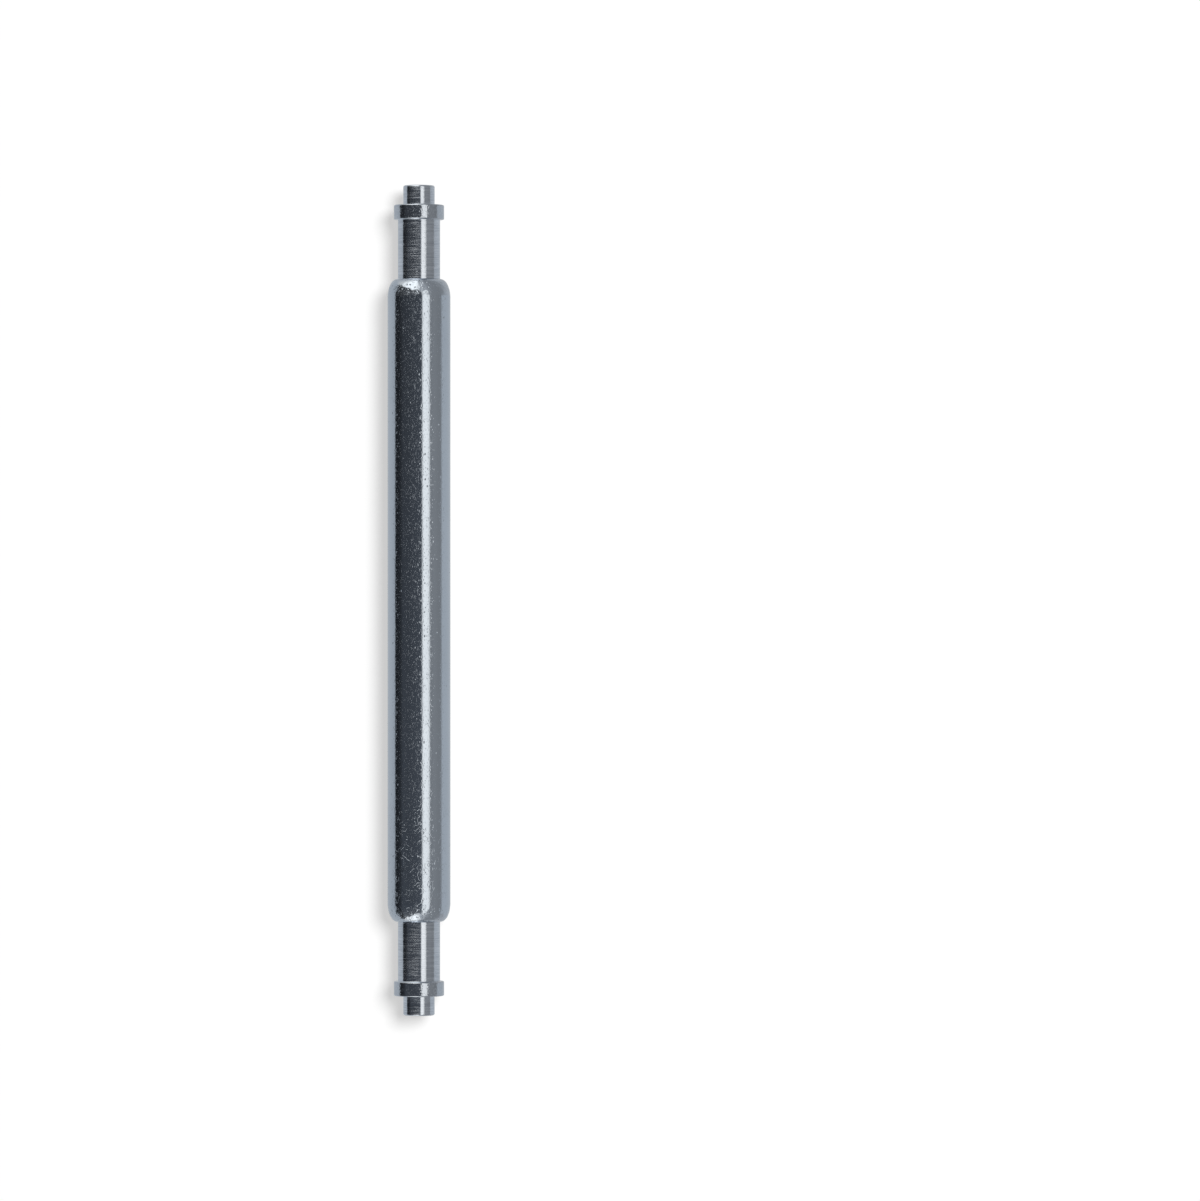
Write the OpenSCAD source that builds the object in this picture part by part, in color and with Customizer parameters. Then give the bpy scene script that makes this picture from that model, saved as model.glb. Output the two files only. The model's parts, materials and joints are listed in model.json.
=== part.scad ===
// Double-flanged watch spring bar.
// A steel tube with both ends rolled in holds two turned end pins, and one coil spring
// between them pushes the pins outwards. The bar lies along X with its middle at the origin.

/* [Tube] */
// Outer diameter of the tube
tube_od = 1.8; // [1.7:0.05:2.1]
// Length of the tube over its rolled ends
tube_len = 18.4; // [14:0.2:24]
// Wall thickness of the drawn tube
tube_wall = 0.15; // [0.1:0.01:0.18]
// Length over which the outside of each end is rolled in
roll_len = 0.5; // [0.3:0.02:0.7]

/* [End pins] */
// Diameter of the tip that enters the hole in the lug
tip_d = 0.9; // [0.7:0.02:1.1]
// Length of the tip beyond the flange
tip_len = 0.56; // [0.4:0.02:0.9]
// Diameter of the flange
flange_d = 1.44; // [1.36:0.02:1.6]
// Thickness of the flange
flange_len = 0.42; // [0.3:0.02:0.6]
// Diameter of the neck, where a fork tool grips behind the flange
neck_d = 1.21; // [1.1:0.01:1.26]
// Length of neck that shows at rest, which is how far a pin can be pushed in
neck_len = 1.7; // [1.2:0.05:2]
// Length of the head that the rolled end holds in
head_len = 0.9; // [0.6:0.05:1.5]
// Length of the stem that keeps the spring centred on the head
stem_len = 1.2; // [0.6:0.1:2]
// Rounding of the edges of the flange
flange_edge_r = 0.035; // [0.02:0.005:0.05]
// Rounding of the edge of the tip
tip_edge_r = 0.05; // [0.02:0.01:0.08]
// Chamfer on the inner edges of the head and the stem
inner_chamfer = 0.08; // [0.04:0.01:0.12]

/* [Spring] */
// Diameter of the spring wire
wire_d = 0.22; // [0.16:0.01:0.26]
// Number of open turns that do the work, with one turn of run-in at each end
active_turns = 24; // [16:1:28]
// Number of closed turns at each end
closed_turns = 2; // [1:1:3]
// Gap left between closed turns
closed_gap = 0.03; // [0.02:0.01:0.05]

/* [Clearances] */
// Radial clearance of the neck in the mouth of the tube
neck_clear = 0.03; // [0.02:0.005:0.05]
// Radial clearance of the head in the bore of the tube
head_clear = 0.03; // [0.02:0.005:0.04]
// Radial clearance of the spring in the bore of the tube
spring_clear = 0.05; // [0.03:0.01:0.08]
// Radial clearance of the stem inside the spring
stem_clear = 0.05; // [0.03:0.01:0.08]
// Gap left where a head rests on its seat, and where the spring rests on a head
seat_gap = 0.01; // [0.005:0.005:0.02]

/* [Hidden] */
$fn = 96;
roll_steps = 12;
edge_steps = 4;
rings_per_turn = 12;
wire_sides = 6;

// Radii
tube_r = tube_od / 2;
bore_r = tube_r - tube_wall;
neck_r = neck_d / 2;
mouth_r = neck_r + neck_clear;
head_r = bore_r - head_clear;
flange_r = flange_d / 2;
tip_r = tip_d / 2;
wire_r = wire_d / 2;
coil_r = bore_r - spring_clear - wire_r;
stem_r = coil_r - wire_r - stem_clear;

// Places along the bar, measured from its middle
tube_end = tube_len / 2;
roll_start = tube_end - roll_len;
// Rolling turns the cut edge of the wall inwards, so the wall's thickness is the mouth's length.
seat_end = tube_end - tube_wall;
seat_start = roll_start;
flange_in = tube_end + neck_len;
flange_out = flange_in + flange_len;
tip_end = flange_out + tip_len;
head_back = seat_start - seat_gap - head_len;
stem_end = head_back - stem_len;

// Spring
turns = active_turns + 2 * closed_turns + 1;
open_from = closed_turns;
open_to = turns - closed_turns - 1;
closed_pitch = wire_d + closed_gap;
coil_half = head_back - seat_gap - wire_r;
open_pitch = closed_pitch + (2 * coil_half - closed_pitch * turns) / active_turns;

steel = [0.62, 0.65, 0.69];
turned_steel = [0.66, 0.69, 0.73];
spring_steel = [0.55, 0.57, 0.6];

// Quarter ellipse from radius r0 at x0 to radius r1 at x1, bulging outwards.
function rolled(r0, r1, x0, x1) =
    [for (i = [0:roll_steps]) let (a = 90 * i / roll_steps)
        [r1 + (r0 - r1) * cos(a), x0 + (x1 - x0) * sin(a)]];

// Rounding of radius edge_r where a face at x meets a side at radius r. The side is 1 for a face
// that looks towards the tip and -1 for one that looks towards the tube. Points run to the tip.
function rounded_edge(r, x, edge_r, side) =
    [for (i = [0:edge_steps]) let (a = 90 * i / edge_steps - (side > 0 ? 0 : 90))
        [r - edge_r + edge_r * cos(a), x - side * edge_r + edge_r * sin(a)]];

function backwards(points) = [for (i = [len(points) - 1:-1:0]) points[i]];

function other_end(points) = [for (p = backwards(points)) [p[0], -p[1]]];

// Outline of one end of the tube, from the outside round to the bore.
tube_end_outline = concat(
    rolled(tube_r, mouth_r, roll_start, tube_end),
    backwards(rolled(bore_r, mouth_r, seat_start, seat_end))
);

// Outline of a pin, from its stem inside the tube to its tip.
pin_outline = concat(
    [[0, stem_end],
     [stem_r - inner_chamfer, stem_end],
     [stem_r, stem_end + inner_chamfer],
     [stem_r, head_back],
     [head_r - inner_chamfer, head_back],
     [head_r, head_back + inner_chamfer]],
    rolled(head_r, neck_r, seat_start - seat_gap, seat_end - seat_gap),
    [[neck_r, flange_in]],
    rounded_edge(flange_r, flange_in, flange_edge_r, -1),
    rounded_edge(flange_r, flange_out, flange_edge_r, 1),
    [[tip_r, flange_out]],
    rounded_edge(tip_r, tip_end, tip_edge_r, 1),
    [[0, tip_end]]
);

// Turns an outline of [radius, place along the bar] about the X axis.
module turned(outline) {
    rotate([0, 90, 0])
        rotate_extrude()
            polygon(outline);
}

module tube() {
    color(steel)
        turned(concat(tube_end_outline, other_end(tube_end_outline)));
}

module end_pin() {
    color(turned_steel)
        turned(pin_outline);
}

// Share of the full pitch, t turns past a change of pitch that takes one turn, and its sum over t.
function ramp(t) = max(0, min(1, t));
function ramp_sum(t) = t <= 0 ? 0 : t < 1 ? t * t / 2 : t - 1 / 2;

// Pitch of the wire, and its place along the bar, t turns from its left end.
function coil_pitch(t) = closed_pitch
    + (open_pitch - closed_pitch) * (ramp(t - open_from) - ramp(t - open_to));
function coil_x(t) = -coil_half + closed_pitch * t
    + (open_pitch - closed_pitch) * (ramp_sum(t - open_from) - ramp_sum(t - open_to));

// Middle of the wire, t turns from its left end.
function wire_middle(t) = [coil_x(t), coil_r * cos(360 * t), coil_r * sin(360 * t)];

// Ring of points round the wire, square to its run, t turns from its left end.
function wire_ring(t) =
    let (lead = atan2(coil_pitch(t), 2 * PI * coil_r),
         outward = [0, cos(360 * t), sin(360 * t)],
         across = [-cos(lead), -sin(lead) * sin(360 * t), sin(lead) * cos(360 * t)])
    [for (k = [0:wire_sides - 1]) let (b = 360 * k / wire_sides)
        wire_middle(t) + wire_r * (outward * cos(b) + across * sin(b))];

// Least gap from the wire to the next turn, measured at the middle of every ring but the last turn's.
least_gap = min([for (i = [0:(turns - 1) * rings_per_turn])
    norm(wire_middle(i / rings_per_turn + 1) - wire_middle(i / rings_per_turn))]) - wire_d;

module coil_spring() {
    last = turns * rings_per_turn;
    points = [for (i = [0:last]) each wire_ring(i / rings_per_turn)];
    sides = [for (i = [0:last - 1], k = [0:wire_sides - 1])
        let (a = i * wire_sides + k,
             b = i * wire_sides + (k + 1) % wire_sides)
        each [[a, b, a + wire_sides], [b, b + wire_sides, a + wire_sides]]];
    first_end = [for (k = [1:wire_sides - 2]) [0, k + 1, k]];
    last_end = [for (k = [1:wire_sides - 2])
        [last * wire_sides, last * wire_sides + k, last * wire_sides + k + 1]];
    echo(least_gap_between_turns = least_gap, open_gap_between_turns = open_pitch - wire_d);
    color(spring_steel)
        polyhedron(points, concat(sides, first_end, last_end), convexity = 10);
}

tube();
coil_spring();
rotate([0, 0, 180]) end_pin();  // left_pin
end_pin();  // right_pin
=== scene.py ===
import json
import math

import bmesh
import bpy
from mathutils import Matrix, Vector, noise


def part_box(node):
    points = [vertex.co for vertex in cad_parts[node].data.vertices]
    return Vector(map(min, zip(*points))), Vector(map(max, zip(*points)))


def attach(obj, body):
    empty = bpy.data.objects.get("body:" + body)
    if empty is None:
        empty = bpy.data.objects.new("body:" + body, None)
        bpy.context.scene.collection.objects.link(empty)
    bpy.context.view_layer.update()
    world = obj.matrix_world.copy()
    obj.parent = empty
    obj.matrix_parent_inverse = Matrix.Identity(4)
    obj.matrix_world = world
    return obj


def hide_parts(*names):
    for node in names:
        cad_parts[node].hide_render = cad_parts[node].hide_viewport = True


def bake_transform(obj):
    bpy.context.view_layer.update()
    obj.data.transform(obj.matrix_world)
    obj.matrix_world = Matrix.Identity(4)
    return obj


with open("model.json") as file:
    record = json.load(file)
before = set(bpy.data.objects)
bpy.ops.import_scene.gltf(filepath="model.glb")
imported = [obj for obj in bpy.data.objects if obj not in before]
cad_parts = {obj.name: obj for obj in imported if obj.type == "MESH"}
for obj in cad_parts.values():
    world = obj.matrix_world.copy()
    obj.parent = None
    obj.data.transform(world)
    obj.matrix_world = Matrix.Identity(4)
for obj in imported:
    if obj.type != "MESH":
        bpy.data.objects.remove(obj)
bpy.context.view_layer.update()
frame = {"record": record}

# Sizes in millimetres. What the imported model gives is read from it, and the rest repeats its own sizes.
MM = 0.001
TUBE_LOW, TUBE_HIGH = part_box("tube")
PIN_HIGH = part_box("right_pin")[1]
SPRING_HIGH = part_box("coil_spring")[1]
mounts = {mount["name"]: mount for mount in frame["record"]["mounts"]}

tube_r = mounts["strap_barrel"]["dims"]["r_mm"]
tube_end = TUBE_HIGH.x / MM
tube_wall = 0.15
roll_len = 0.5
tip_r = mounts["right_tip"]["dims"]["r_mm"]
tip_end = PIN_HIGH.x / MM
flange_out = mounts["right_shoulder"]["pos_m"][0] / MM
flange_len = 0.42
flange_r = 0.72
neck_r = 0.605
head_len = 0.9
stem_len = 1.2
flange_edge_r = 0.035
tip_edge_r = 0.05
root_r = 0.02
inner_chamfer = 0.08
neck_clear = 0.03
head_clear = 0.03
seat_gap = 0.01
stop_gap = 0.004
wire_d = 0.22
active_turns = 24
closed_turns = 2
closed_gap = 0.03
spring_clear = 0.05
stem_clear = 0.05

bore_r = tube_r - tube_wall
mouth_r = neck_r + neck_clear
head_r = bore_r - head_clear
coil_r = bore_r - spring_clear - wire_d / 2
stem_r = coil_r - wire_d / 2 - stem_clear
roll_start = tube_end - roll_len
seat_end = tube_end - tube_wall
flange_in = flange_out - flange_len
head_back = roll_start - seat_gap - head_len
stem_end = head_back - stem_len
spring_turns = active_turns + 2 * closed_turns + 1
spring_end = SPRING_HIGH.x / MM - wire_d / 2


# What the materials are made with

def srgb(text):
    """Linear colour, with alpha, of an sRGB hex value."""
    shades = [int(text[i:i + 2], 16) / 255 for i in (1, 3, 5)]
    return [s / 12.92 if s <= 0.04045 else ((s + 0.055) / 1.055) ** 2.4 for s in shades] + [1]


def add(tree, kind, inputs=(), **settings):
    """Adds a node with its settings. inputs maps a socket to a value or to another node's output."""
    node = tree.nodes.new(kind)
    for name, value in settings.items():
        setattr(node, name, value)
    for socket, value in dict(inputs).items():
        if isinstance(value, bpy.types.NodeSocket):
            tree.links.new(value, node.inputs[socket])
        else:
            node.inputs[socket].default_value = value
    return node


def new_material(name):
    """An empty node material, with its tree and its output node."""
    material = bpy.data.materials.new(name)
    material.use_nodes = True
    material.node_tree.nodes.clear()
    tree = material.node_tree
    return material, tree, add(tree, "ShaderNodeOutputMaterial")


def place_in_mm(tree):
    """Place on the bar in millimetres, so that pattern scales can be written per millimetre."""
    place = add(tree, "ShaderNodeTexCoord").outputs["Object"]
    scaled = add(tree, "ShaderNodeVectorMath", {0: place, "Scale": 1 / MM}, operation="SCALE")
    return scaled.outputs["Vector"]


def stretched(tree, place, factors):
    """Place with its parts scaled, so that a pattern is drawn out along the smaller ones."""
    scaled = add(tree, "ShaderNodeVectorMath", {0: place, 1: factors}, operation="MULTIPLY")
    return scaled.outputs["Vector"]


def pitted(tree, place, normal, share, spacing_mm, radius_mm, depth_mm):
    """Tiny round pits of uneven depth, on the given share of it. Gives back the bumped normal."""
    cells = add(tree, "ShaderNodeTexVoronoi", {"Vector": place, "Scale": 1 / spacing_mm})
    rise = add(tree, "ShaderNodeMapRange",
               {"Value": cells.outputs["Distance"], "From Max": radius_mm / spacing_mm,
                "To Min": -1, "To Max": 0},
               interpolation_type="SMOOTHSTEP")
    chance = add(tree, "ShaderNodeSeparateColor", {"Color": cells.outputs["Color"]})
    pit = add(tree, "ShaderNodeMath", {0: rise.outputs["Result"], 1: chance.outputs["Red"]},
              operation="MULTIPLY")
    bump = add(tree, "ShaderNodeBump",
               {"Height": pit.outputs["Value"], "Strength": share, "Distance": depth_mm * MM,
                "Normal": normal})
    return bump.outputs["Normal"]


def scuffed(tree, place, size_mm, least, most):
    """How dull fine scuffs have made each spot, from 0 to 1. The pattern runs from 0 to 1 too: up to
    least a spot is clean, and from most on it is fully dull."""
    grain = add(tree, "ShaderNodeTexNoise",
                {"Vector": place, "Scale": 1 / size_mm, "Detail": 1, "Roughness": 0.5})
    share = add(tree, "ShaderNodeMapRange",
                {"Value": grain.outputs["Fac"], "From Min": least, "From Max": most},
                interpolation_type="SMOOTHSTEP")
    return share.outputs["Result"]


# Materials

def tumbled_tube_steel():
    """Stainless tube, cold drawn, polished as it spins and then tumbled with fine stones: a clear
    reflection, broken by fine scuffs and tiny pits, which glint in its dark parts and show dark in its
    highlight. The polish runs round the tube, so a dull spot spreads light along the bar, and the
    highlight keeps sharp edges. The left end is smoother and has curled scratches, and the rolled
    ends are pitted most. The real marks are about 0.01 mm wide, which is too fine to show, so they
    are drawn three to five times coarser."""
    material, tree, output = new_material("tumbled_tube_steel")
    place = place_in_mm(tree)
    cloud_mm = 1.5
    grain_mm = 0.05
    grain_depth_mm = 0.001
    curl_mm = 0.13
    curl_width = 0.03
    curl_depth_mm = 0.0022
    patch_mm = 0.25
    drawn_along = 0.5
    clean_roughness = 0.1
    dull_roughness = 0.4
    least_share = 0.8
    smooth_from, smooth_to = -5.2, -6.2
    pattern_middle = 0.5
    rubbed_over = 0.15
    polished_share = 0.6
    quarter_turn = 0.25
    cloud = add(tree, "ShaderNodeTexNoise", {"Vector": place, "Scale": 1 / cloud_mm, "Detail": 4})
    colour = add(tree, "ShaderNodeMix",
                 {"Factor": cloud.outputs["Fac"], "A": srgb("#BAC4D0"), "B": srgb("#C4CEDA")},
                 data_type="RGBA")
    parts = add(tree, "ShaderNodeSeparateXYZ", {"Vector": place})
    tumbled = add(tree, "ShaderNodeMapRange",
                  {"Value": parts.outputs["X"], "From Min": smooth_to, "From Max": smooth_from,
                   "To Min": least_share})
    curled = add(tree, "ShaderNodeMapRange",
                 {"Value": parts.outputs["X"], "From Min": smooth_from, "From Max": smooth_to})
    drawn = stretched(tree, place, (drawn_along, 1, 1))
    scuffs = scuffed(tree, drawn, size_mm=0.035, least=0.44, most=0.84)
    dull = add(tree, "ShaderNodeMath", {0: scuffs, 1: tumbled.outputs["Result"]}, operation="MULTIPLY")
    roughness = add(tree, "ShaderNodeMapRange",
                    {"Value": dull.outputs["Value"], "To Min": clean_roughness,
                     "To Max": dull_roughness})
    grain = add(tree, "ShaderNodeTexNoise", {"Vector": drawn, "Scale": 1 / grain_mm, "Detail": 1})
    grain_bump = add(tree, "ShaderNodeBump",
                     {"Height": grain.outputs["Fac"], "Strength": tumbled.outputs["Result"],
                      "Distance": grain_depth_mm * MM})
    curls = add(tree, "ShaderNodeTexNoise", {"Vector": place, "Scale": 1 / curl_mm, "Detail": 0})
    off_line = add(tree, "ShaderNodeMath", {0: curls.outputs["Fac"], 1: pattern_middle},
                   operation="SUBTRACT")
    aside = add(tree, "ShaderNodeMath", {0: off_line.outputs["Value"]}, operation="ABSOLUTE")
    line = add(tree, "ShaderNodeMapRange",
               {"Value": aside.outputs["Value"], "From Max": curl_width, "To Min": -1, "To Max": 0},
               interpolation_type="SMOOTHSTEP")
    patches = scuffed(tree, place, size_mm=patch_mm, least=0.46, most=0.56)
    curls_there = add(tree, "ShaderNodeMath", {0: patches, 1: curled.outputs["Result"]},
                      operation="MULTIPLY")
    curl_bump = add(tree, "ShaderNodeBump",
                    {"Height": line.outputs["Result"], "Strength": curls_there.outputs["Value"],
                     "Distance": curl_depth_mm * MM, "Normal": grain_bump.outputs["Normal"]})
    fine = pitted(tree, drawn, curl_bump.outputs["Normal"], tumbled.outputs["Result"],
                  spacing_mm=0.05, radius_mm=0.018, depth_mm=0.003)
    coarse = pitted(tree, drawn, fine, tumbled.outputs["Result"],
                    spacing_mm=0.15, radius_mm=0.024, depth_mm=0.011)
    from_middle = add(tree, "ShaderNodeMath", {0: parts.outputs["X"]}, operation="ABSOLUTE")
    rolled_in = add(tree, "ShaderNodeMapRange",
                    {"Value": from_middle.outputs["Value"], "From Min": roll_start,
                     "From Max": roll_start + rubbed_over})
    rubbed = pitted(tree, place, coarse, rolled_in.outputs["Result"],
                    spacing_mm=0.085, radius_mm=0.035, depth_mm=0.01)
    round_axis = add(tree, "ShaderNodeTangent", direction_type="RADIAL", axis="X")
    steel = add(tree, "ShaderNodeBsdfPrincipled",
                {"Metallic": 1, "Base Color": colour.outputs["Result"],
                 "Roughness": roughness.outputs["Result"], "Normal": rubbed,
                 "Anisotropic": polished_share, "Anisotropic Rotation": quarter_turn,
                 "Tangent": round_axis.outputs["Tangent"]})
    tree.links.new(steel.outputs["BSDF"], output.inputs["Surface"])
    return material


def turned_pin_steel():
    """Stainless bar turned on a lathe: bright, with fine tool rings that run round the pin. They show
    as broken light and dark lines across its reflections, and they spread light along the bar, so
    that the highlight keeps sharp edges. The flange is speckled instead of ringed. The real rings
    are about 0.015 mm apart, which is too fine to show, so they are drawn about twice as coarse."""
    material, tree, output = new_material("turned_pin_steel")
    place = place_in_mm(tree)
    ring_mm = 0.035
    drawn_round = 0.06
    mark_depth_mm = 0.0025
    clean_roughness = 0.09
    dull_roughness = 0.28
    pitted_share = 0.4
    ringed_share = 0.9
    quarter_turn = 0.25
    flange_from, flange_to = neck_r + 0.03, neck_r + 0.08
    parts = add(tree, "ShaderNodeSeparateXYZ", {"Vector": place})
    across = add(tree, "ShaderNodeCombineXYZ", {"Y": parts.outputs["Y"], "Z": parts.outputs["Z"]})
    radius = add(tree, "ShaderNodeVectorMath", {0: across.outputs["Vector"]}, operation="LENGTH")
    along = add(tree, "ShaderNodeMath", {0: parts.outputs["X"], 1: radius.outputs["Value"]})
    lathe_place = add(tree, "ShaderNodeCombineXYZ",
                      {"X": along.outputs["Value"], "Y": parts.outputs["Y"], "Z": parts.outputs["Z"]})
    round_pin = stretched(tree, lathe_place.outputs["Vector"], (1, drawn_round, drawn_round))
    rings = scuffed(tree, round_pin, size_mm=ring_mm, least=0.24, most=0.8)
    on_flange = add(tree, "ShaderNodeMapRange",
                    {"Value": radius.outputs["Value"], "From Min": flange_from, "From Max": flange_to})
    specks = scuffed(tree, place, size_mm=0.045, least=0.42, most=0.9)
    marks = add(tree, "ShaderNodeMix", {"Factor": on_flange.outputs["Result"], "A": rings, "B": specks})
    colour = add(tree, "ShaderNodeMix",
                 {"Factor": marks.outputs["Result"], "A": srgb("#BAC2CD"), "B": srgb("#D6DEE9")},
                 data_type="RGBA")
    roughness = add(tree, "ShaderNodeMapRange",
                    {"Value": marks.outputs["Result"], "To Min": clean_roughness,
                     "To Max": dull_roughness})
    mark_bump = add(tree, "ShaderNodeBump",
                    {"Height": marks.outputs["Result"], "Strength": 1,
                     "Distance": mark_depth_mm * MM})
    pits = pitted(tree, place, mark_bump.outputs["Normal"], pitted_share,
                  spacing_mm=0.1, radius_mm=0.02, depth_mm=0.008)
    round_axis = add(tree, "ShaderNodeTangent", direction_type="RADIAL", axis="X")
    steel = add(tree, "ShaderNodeBsdfPrincipled",
                {"Metallic": 1, "Base Color": colour.outputs["Result"],
                 "Roughness": roughness.outputs["Result"], "Normal": pits,
                 "Anisotropic": ringed_share, "Anisotropic Rotation": quarter_turn,
                 "Tangent": round_axis.outputs["Tangent"]})
    tree.links.new(steel.outputs["BSDF"], output.inputs["Surface"])
    return material


def drawn_spring_wire():
    """Cold drawn stainless spring wire: darker and duller than the turned pins, with faint marks,
    which are drawn coarser than the real ones so that they show."""
    material, tree, output = new_material("drawn_spring_wire")
    place = place_in_mm(tree)
    mark_mm = 0.06
    mark_depth_mm = 0.002
    least_roughness = 0.22
    most_roughness = 0.38
    marks = add(tree, "ShaderNodeTexNoise", {"Vector": place, "Scale": 1 / mark_mm, "Detail": 4})
    colour = add(tree, "ShaderNodeMix",
                 {"Factor": marks.outputs["Fac"], "A": srgb("#9A9FA6"), "B": srgb("#B4B8BD")},
                 data_type="RGBA")
    roughness = add(tree, "ShaderNodeMapRange",
                    {"Value": marks.outputs["Fac"], "To Min": least_roughness,
                     "To Max": most_roughness})
    bump = add(tree, "ShaderNodeBump",
               {"Height": marks.outputs["Fac"], "Strength": 1, "Distance": mark_depth_mm * MM})
    steel = add(tree, "ShaderNodeBsdfPrincipled",
                {"Metallic": 1, "Base Color": colour.outputs["Result"],
                 "Roughness": roughness.outputs["Result"], "Normal": bump.outputs["Normal"]})
    tree.links.new(steel.outputs["BSDF"], output.inputs["Surface"])
    return material


# Shapes

def arc(x, r, size, start, stop, steps=6):
    """Points (place, radius) on an arc about (x, r), from angle start to stop in degrees, where 0
    points along the bar and 90 points outwards."""
    angles = [math.radians(start + (stop - start) * i / steps) for i in range(steps + 1)]
    return [(x + size * math.cos(a), r + size * math.sin(a)) for a in angles]


def rolled(r0, r1, x0, x1, steps=24):
    """Points on a quarter ellipse from radius r0 at x0 to radius r1 at x1, bulging outwards."""
    turns = [math.pi / 2 * i / steps for i in range(steps + 1)]
    return [(x0 + (x1 - x0) * math.sin(t), r1 + (r0 - r1) * math.cos(t)) for t in turns]


def other_end(points):
    """The same outline at the other end of the bar."""
    return [(-x, r) for x, r in reversed(points)]


def with_support(points, closed, margin=0.015, longest=1.0):
    """Adds points near both ends of each straight run, so that smooth shading stays at the edges,
    and along the run, so that no face is too long."""
    result = []
    count = len(points) if closed else len(points) - 1
    for i in range(count):
        (x0, r0), (x1, r1) = points[i], points[(i + 1) % len(points)]
        length = math.hypot(x1 - x0, r1 - r0)
        result.append((x0, r0))
        if length > 4 * margin:
            pieces = math.ceil(length / longest)
            shares = [margin / length] + [k / pieces for k in range(1, pieces)] + [1 - margin / length]
            result += [(x0 + (x1 - x0) * s, r0 + (r1 - r0) * s) for s in shares]
    return result if closed else result + [points[-1]]


def turned(name, outline, sides, closed, longest=1.0, sharp_deg=30):
    """Turns an outline of (place, radius) points in millimetres about the bar's axis. Edges that turn
    by more than sharp_deg are shaded sharp."""
    on_axis = 1e-6
    points = with_support(outline, closed, longest=longest)
    angles = [2 * math.pi * k / sides for k in range(sides)]
    mesh = bmesh.new()
    rings = []
    for x, r in points:
        if r < on_axis:
            rings.append([mesh.verts.new((x * MM, 0, 0))])
            continue
        rings.append([mesh.verts.new((x * MM, r * math.cos(a) * MM, r * math.sin(a) * MM))
                      for a in angles])
    pairs = list(zip(rings, rings[1:])) + ([(rings[-1], rings[0])] if closed else [])
    for one, two in pairs:
        for k in range(sides):
            corners = [one[k % len(one)], one[(k + 1) % len(one)],
                       two[(k + 1) % len(two)], two[k % len(two)]]
            mesh.faces.new(list(dict.fromkeys(corners))).smooth = True
    for i, ring in enumerate(rings):
        if len(ring) == 1 or not closed and i in (0, len(rings) - 1):
            continue
        here = Vector(points[i])
        before = here - Vector(points[i - 1])
        after = Vector(points[(i + 1) % len(points)]) - here
        if math.degrees(before.angle(after)) > sharp_deg:
            for k in range(sides):
                mesh.edges.get((ring[k], ring[(k + 1) % sides])).smooth = False
    bmesh.ops.recalc_face_normals(mesh, faces=mesh.faces)
    return finished_piece(name, mesh)


def finished_piece(name, mesh):
    """Makes the piece's object from a mesh."""
    data = bpy.data.meshes.new(name)
    mesh.to_mesh(data)
    mesh.free()
    piece = bpy.data.objects.new(name, data)
    bpy.context.scene.collection.objects.link(piece)
    return piece


def tube():
    """The tube, with both ends rolled in round the necks of the pins. Its ends stop a hair short, so
    that they don't cut into a flange when a pin is pushed right in."""
    end = rolled(tube_r, mouth_r, roll_start, tube_end - stop_gap)
    end += list(reversed(rolled(bore_r, mouth_r, roll_start, seat_end)))
    piece = turned("rolled_tube", end + other_end(end), sides=192, closed=True)
    dented(piece)
    return piece


def dented(piece):
    """Presses low dents into the outside of the rolled ends, as the rolling tool leaves them."""
    dent_size = 0.11
    dent_depth = 0.011
    blend_in = 0.08
    outer_skin = tube_wall / 4
    for vertex in piece.data.vertices:
        place = vertex.co / MM
        radius = math.hypot(place.y, place.z)
        share = min(1.0, max(0.0, (abs(place.x) - roll_start) / roll_len))
        outside = mouth_r + (tube_r - mouth_r) * math.sqrt(1 - share ** 2)
        if share == 0 or radius < outside - outer_skin:
            continue
        from_start = min(1.0, share * roll_len / blend_in)
        from_mouth = min(1.0, max(0.0, (radius - mouth_r) / blend_in))
        depth = dent_depth * from_start * from_mouth * (1 - noise.noise(place / dent_size)) / 2
        vertex.co -= Vector((0, place.y, place.z)) / radius * depth * MM


def pin(name, side):
    """An end pin. The side is 1 for the right pin and -1 for the left one."""
    outline = [(stem_end, 0), (stem_end, stem_r - inner_chamfer), (stem_end + inner_chamfer, stem_r),
               (head_back, stem_r), (head_back, head_r - inner_chamfer),
               (head_back + inner_chamfer, head_r)]
    outline += rolled(head_r, neck_r, roll_start - seat_gap, seat_end - seat_gap)
    outline += arc(flange_in - root_r, neck_r + root_r, root_r, -90, 0)
    outline += arc(flange_in + flange_edge_r, flange_r - flange_edge_r, flange_edge_r, 180, 90)
    outline += arc(flange_out - flange_edge_r, flange_r - flange_edge_r, flange_edge_r, 90, 0)
    outline += arc(flange_out + root_r, tip_r + root_r, root_r, 180, 270)
    outline += arc(tip_end - tip_edge_r, tip_r - tip_edge_r, tip_edge_r, 90, 0)
    outline += [(tip_end, 0)]
    if side < 0:
        outline = other_end(outline)
    return turned(name, outline, sides=128, closed=False)


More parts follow.
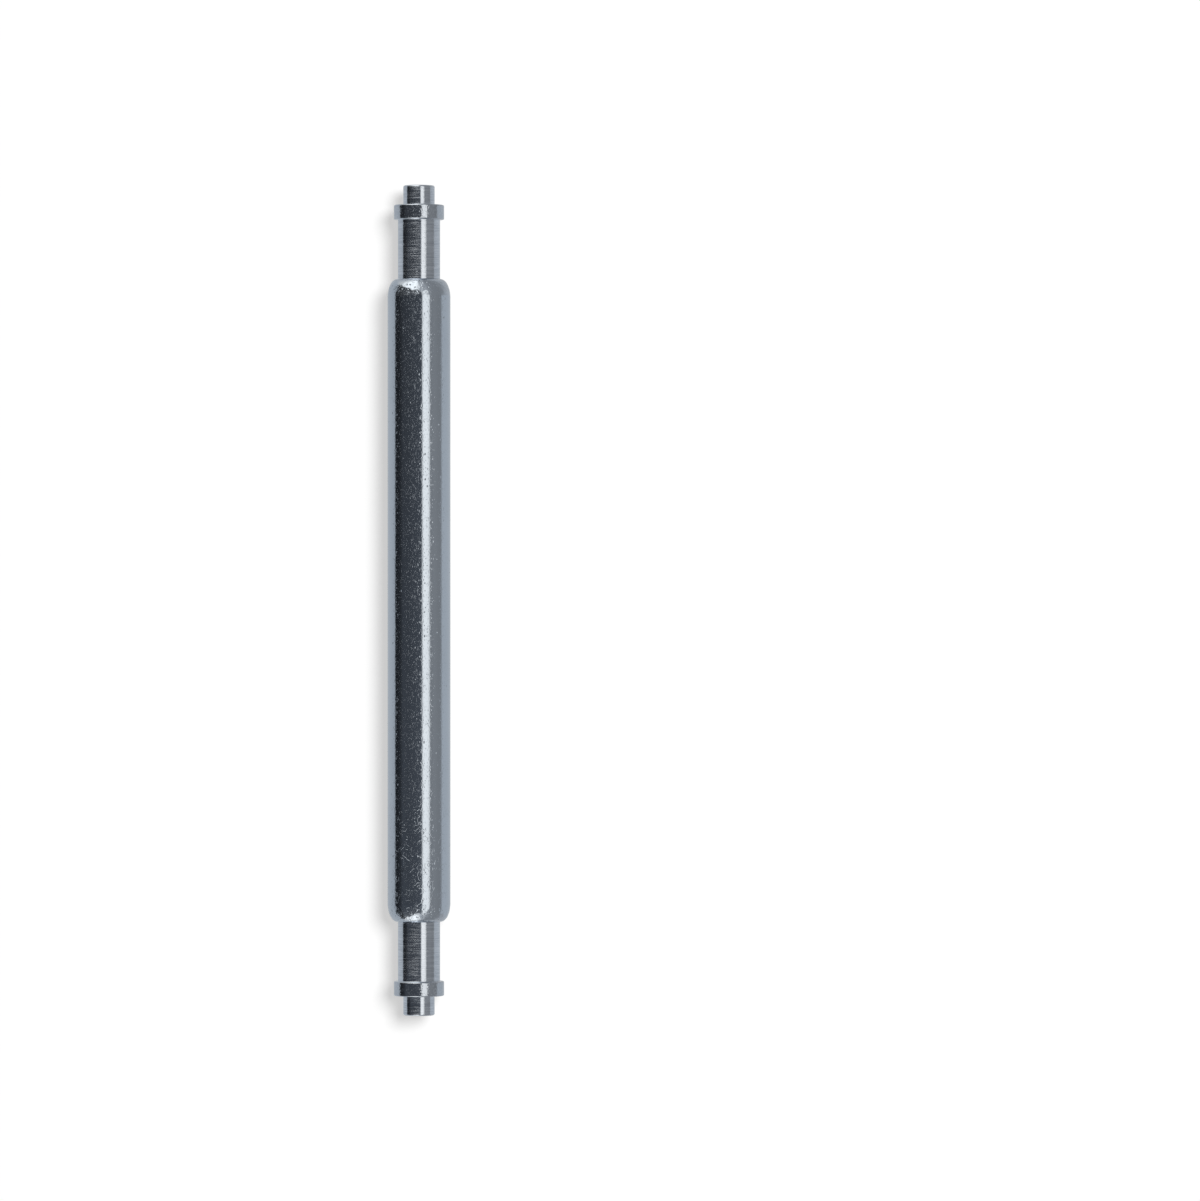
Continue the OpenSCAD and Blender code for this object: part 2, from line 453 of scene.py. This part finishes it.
def coil_half(name, side, rings_per_turn=24, wire_sides=12):
    """Half of the coil spring, from the middle of the bar to one head. The side is 1 for the right half
    and -1 for the left one."""
    closed_pitch = wire_d + closed_gap
    open_pitch = closed_pitch + (2 * spring_end - closed_pitch * spring_turns) / active_turns

    def ramp(t):
        """Share of the full pitch, t turns past a change of pitch that takes one turn."""
        return max(0.0, min(1.0, t))

    def ramp_sum(t):
        """That share, summed up over t turns."""
        return 0.0 if t <= 0 else t * t / 2 if t < 1 else t - 0.5

    def wire_middle(t):
        """Middle of the wire, t turns from the left end of the whole spring."""
        extra = ramp_sum(t - closed_turns) - ramp_sum(t - (spring_turns - closed_turns - 1))
        x = -spring_end + closed_pitch * t + (open_pitch - closed_pitch) * extra
        return Vector((x, coil_r * math.cos(2 * math.pi * t), coil_r * math.sin(2 * math.pi * t)))

    first, last = (0, spring_turns / 2) if side < 0 else (spring_turns / 2, spring_turns)
    count = round((last - first) * rings_per_turn)
    angles = [2 * math.pi * k / wire_sides for k in range(wire_sides)]
    mesh = bmesh.new()
    rings = []
    for i in range(count + 1):
        t = first + i / rings_per_turn
        middle = wire_middle(t)
        share = ramp(t - closed_turns) - ramp(t - (spring_turns - closed_turns - 1))
        lead = math.atan2(closed_pitch + (open_pitch - closed_pitch) * share, 2 * math.pi * coil_r)
        turn = 2 * math.pi * t
        outward = Vector((0, math.cos(turn), math.sin(turn)))
        across = Vector((-math.cos(lead), -math.sin(lead) * math.sin(turn),
                         math.sin(lead) * math.cos(turn)))
        aways = [outward * math.cos(a) + across * math.sin(a) for a in angles]
        rings.append([mesh.verts.new((middle + wire_d / 2 * away) * MM) for away in aways])
    for one, two in zip(rings, rings[1:]):
        for k in range(wire_sides):
            n = (k + 1) % wire_sides
            mesh.faces.new((one[k], one[n], two[n], two[k])).smooth = True
    for ring in (rings[0], rings[-1]):
        mesh.faces.new(ring)
        for k in range(wire_sides):
            mesh.edges.get((ring[k], ring[(k + 1) % wire_sides])).smooth = False
    bmesh.ops.recalc_face_normals(mesh, faces=mesh.faces)
    return finished_piece(name, mesh)


# Floor, light and camera

def floor():
    """A plain white sheet, lit from below like a light table, so that the bar's shadow stays soft. The
    metal doesn't see it: what it reflects is in the studio's bands."""
    half_size_m = 2.0
    under_bar = 0.003
    lit_from_below = 0.6
    mesh = bmesh.new()
    corners = [(-1, -1), (1, -1), (1, 1), (-1, 1)]
    height = TUBE_LOW.z - under_bar * MM
    mesh.faces.new([mesh.verts.new((x * half_size_m, y * half_size_m, height)) for x, y in corners])
    sheet = finished_piece("floor", mesh)
    material, tree, output = new_material("white_light_table")
    paper = add(tree, "ShaderNodeBsdfDiffuse", {"Color": srgb("#F3F3F3")})
    glow = add(tree, "ShaderNodeEmission", {"Color": srgb("#FFFFFF"), "Strength": lit_from_below})
    table = add(tree, "ShaderNodeAddShader", {0: paper.outputs["BSDF"], 1: glow.outputs["Emission"]})
    tree.links.new(table.outputs["Shader"], output.inputs["Surface"])
    sheet.data.materials.append(material)
    sheet.visible_glossy = False


def studio():
    """The soft studio round the bar, which only the metal sees. What it reflects is given by the angle
    across the bar, from straight up to each side: pale sheets low down, a dark card from the left to
    the top, a bright strip beside it and grey paper to the right. The card is a little darker towards
    the top of the picture. Towards both ends of the bar the studio turns white."""
    world = bpy.data.worlds.new("studio")
    bpy.context.scene.world = world
    world.use_nodes = True
    # Only reflections find the studio, so no map of its light is needed.
    world.cycles.sampling_method = "NONE"
    tree = world.node_tree
    tree.nodes.clear()
    towards = add(tree, "ShaderNodeTexCoord").outputs["Generated"]
    parts = add(tree, "ShaderNodeSeparateXYZ", {"Vector": towards})
    right = add(tree, "ShaderNodeMath", {0: parts.outputs["Y"], 1: -1}, operation="MULTIPLY")
    across = add(tree, "ShaderNodeMath", {0: right.outputs["Value"], 1: parts.outputs["Z"]},
                 operation="ARCTAN2")
    share = add(tree, "ShaderNodeMapRange",
                {"Value": across.outputs["Value"], "From Min": -math.pi, "From Max": math.pi})

    def bands(stops):
        """Colour by the angle across, from stops of (degrees from straight up, light, hue)."""
        ramp = add(tree, "ShaderNodeValToRGB", {"Fac": share.outputs["Result"]})
        marks = ramp.color_ramp.elements
        marks.remove(marks[1])
        for degrees, light, hue in stops:
            mark = marks.new((degrees + 180) / 360) if degrees > -180 else marks[0]
            mark.color = [light * part for part in srgb(hue)]
        return ramp.outputs["Color"]

    paper, sheet, card, strip = "#FFFFFF", "#F8FCFF", "#EAF2FF", "#FFFBF4"
    card_change = 0.05
    end_shift = 0.12
    end_softness = 0.04
    end_glow = 0.03
    glow_from, glow_to = 0.15, 0.3
    half_a_bounce = 0.5
    left_side = [(-180, 0.596, sheet), (-122, 0.607, sheet), (-98.5, 0.55, sheet), (-95, 0.035, card)]
    lower_card = [(-91, 0.022, card), (-82, 0.028, card), (-70, 0.05, card), (-60, 0.105, card),
                  (-40, 0.095, card), (-20, 0.1, card), (4, 0.115, card), (11.5, 0.14, card)]
    upper_card = [(-91, 0.02, card), (-80, 0.022, card), (-68, 0.03, card), (-56, 0.045, card),
                  (-36, 0.053, card), (-20, 0.068, card), (4, 0.08, card), (11.5, 0.1, card)]
    right_side = [(16, 1.27, strip), (19, 1.37, strip), (32, 1.36, strip), (40.5, 1.13, strip),
                  (43, 0.295, paper), (60, 0.32, paper), (78, 0.29, paper), (90, 0.29, paper),
                  (96, 0.6, sheet)]
    upwards = add(tree, "ShaderNodeMapRange",
                  {"Value": parts.outputs["X"], "From Min": -card_change, "From Max": card_change})
    middle = add(tree, "ShaderNodeMix",
                 {"Factor": upwards.outputs["Result"], "A": bands(left_side + lower_card + right_side),
                  "B": bands(left_side + upper_card + right_side)},
                 data_type="RGBA")
    ends = bands([(-180, 0.58, paper), (-135, 0.6, paper), (-118, 0.7, paper), (-100, 0.85, strip),
                  (-80, 1.05, strip), (-66, 1.4, strip), (-58, 1.75, strip), (-15, 1.75, strip),
                  (-5, 1.4, strip), (2, 1.0, strip), (9, 0.6, paper), (20, 0.48, paper),
                  (36, 0.4, paper), (55, 0.32, paper), (84, 0.3, paper), (100, 0.34, paper),
                  (114, 0.44, paper), (132, 0.56, paper)])
    white_from = bands([(-180, 0.72, paper), (-70, 0.685, paper), (-57, 0.665, paper),
                        (-30, 0.545, paper), (-12, 0.49, paper), (4, 0.42, paper), (14, 0.47, paper),
                        (24, 0.515, paper), (30, 0.43, paper), (35, 0.31, paper), (40, 0.25, paper)])
    shifted = add(tree, "ShaderNodeMath", {0: parts.outputs["X"], 1: end_shift})
    leaning = add(tree, "ShaderNodeMath", {0: shifted.outputs["Value"]}, operation="ABSOLUTE")
    beyond = add(tree, "ShaderNodeMath", {0: leaning.outputs["Value"], 1: white_from},
                 operation="SUBTRACT")
    end = add(tree, "ShaderNodeMapRange",
              {"Value": beyond.outputs["Value"], "From Min": -end_softness, "From Max": end_softness},
              interpolation_type="SMOOTHSTEP")
    glow = add(tree, "ShaderNodeMapRange",
               {"Value": leaning.outputs["Value"], "From Min": glow_from, "From Max": glow_to,
                "To Max": end_glow},
               interpolation_type="SMOOTHSTEP")
    whiter = add(tree, "ShaderNodeMath", {0: glow.outputs["Result"], 1: end.outputs["Result"]})
    room = add(tree, "ShaderNodeMix",
               {"Factor": whiter.outputs["Value"], "A": middle.outputs["Result"], "B": ends},
               data_type="RGBA")
    seen = add(tree, "ShaderNodeLightPath")
    off_the_floor = add(tree, "ShaderNodeMath", {0: seen.outputs["Diffuse Depth"], 1: half_a_bounce},
                        operation="LESS_THAN")
    light = add(tree, "ShaderNodeMix",
                {"Factor": off_the_floor.outputs["Value"], "A": srgb("#000000"),
                 "B": room.outputs["Result"]},
                data_type="RGBA")
    view = add(tree, "ShaderNodeMix",
               {"Factor": seen.outputs["Is Camera Ray"], "A": light.outputs["Result"],
                "B": srgb("#FFFFFF")},
               data_type="RGBA")
    background = add(tree, "ShaderNodeBackground", {"Color": view.outputs["Result"], "Strength": 1})
    output = add(tree, "ShaderNodeOutputWorld")
    tree.links.new(background.outputs["Background"], output.inputs["Surface"])


def key_light():
    """One large soft light from the right of the picture and a little from its top, for the bar's
    shadow."""
    spread_deg = 24
    strength = 1.57
    data = bpy.data.lights.new("key", "SUN")
    data.angle = math.radians(spread_deg)
    data.energy = strength
    key = bpy.data.objects.new("key", data)
    bpy.context.scene.collection.objects.link(key)
    towards_light = Vector((0.245, -0.358, 1))
    key.rotation_mode = "QUATERNION"
    key.rotation_quaternion = towards_light.to_track_quat("Z", "Y")
    key.visible_glossy = False


def camera():
    """Looks straight down with the bar upright in the picture, left of its middle as in the
    photograph."""
    image_width_px = 1200
    image_height_px = 1201
    bar_across_px = 419.1
    bar_middle_px = 600.4
    tube_wide_px = 62.8
    lens_mm = 200
    sensor_mm = 36
    mm_per_px = 2 * tube_r / tube_wide_px
    data = bpy.data.cameras.new("camera")
    data.lens = lens_mm
    data.sensor_width = sensor_mm
    width = image_width_px * mm_per_px * MM
    distance = width * lens_mm / sensor_mm
    aside = (bar_across_px - image_width_px / 2) * mm_per_px * MM
    above = (bar_middle_px - image_height_px / 2) * mm_per_px * MM
    data.clip_start = distance / 10
    data.clip_end = distance * 100
    lens = bpy.data.objects.new("camera", data)
    bpy.context.scene.collection.objects.link(lens)
    lens.location = (above, aside, distance)
    lens.rotation_mode = "QUATERNION"
    right, up, back = Vector((0, -1, 0)), Vector((1, 0, 0)), Vector((0, 0, 1))
    lens.rotation_quaternion = Matrix((right, up, back)).transposed().to_quaternion()
    bpy.context.scene.camera = lens


# The bar put together

tube_steel = tumbled_tube_steel()
pin_steel = turned_pin_steel()
spring_wire = drawn_spring_wire()

barrel = tube()
barrel.data.materials.append(tube_steel)
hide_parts("tube")
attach(barrel, "tube")

for name, side in (("left_pin", -1), ("right_pin", 1)):
    body = pin("turned_" + name, side)
    body.data.materials.append(pin_steel)
    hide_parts(name)
    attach(body, name)

    half = coil_half(name.replace("_pin", "_half_of_spring"), side)
    half.data.materials.append(spring_wire)
    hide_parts("coil_spring")
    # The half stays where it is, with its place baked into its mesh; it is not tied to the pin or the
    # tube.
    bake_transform(half)

floor()
studio()
key_light()
camera()
# The colours are matched to the photograph as they are, with no film curve over them.
bpy.context.scene.view_settings.view_transform = "Standard"
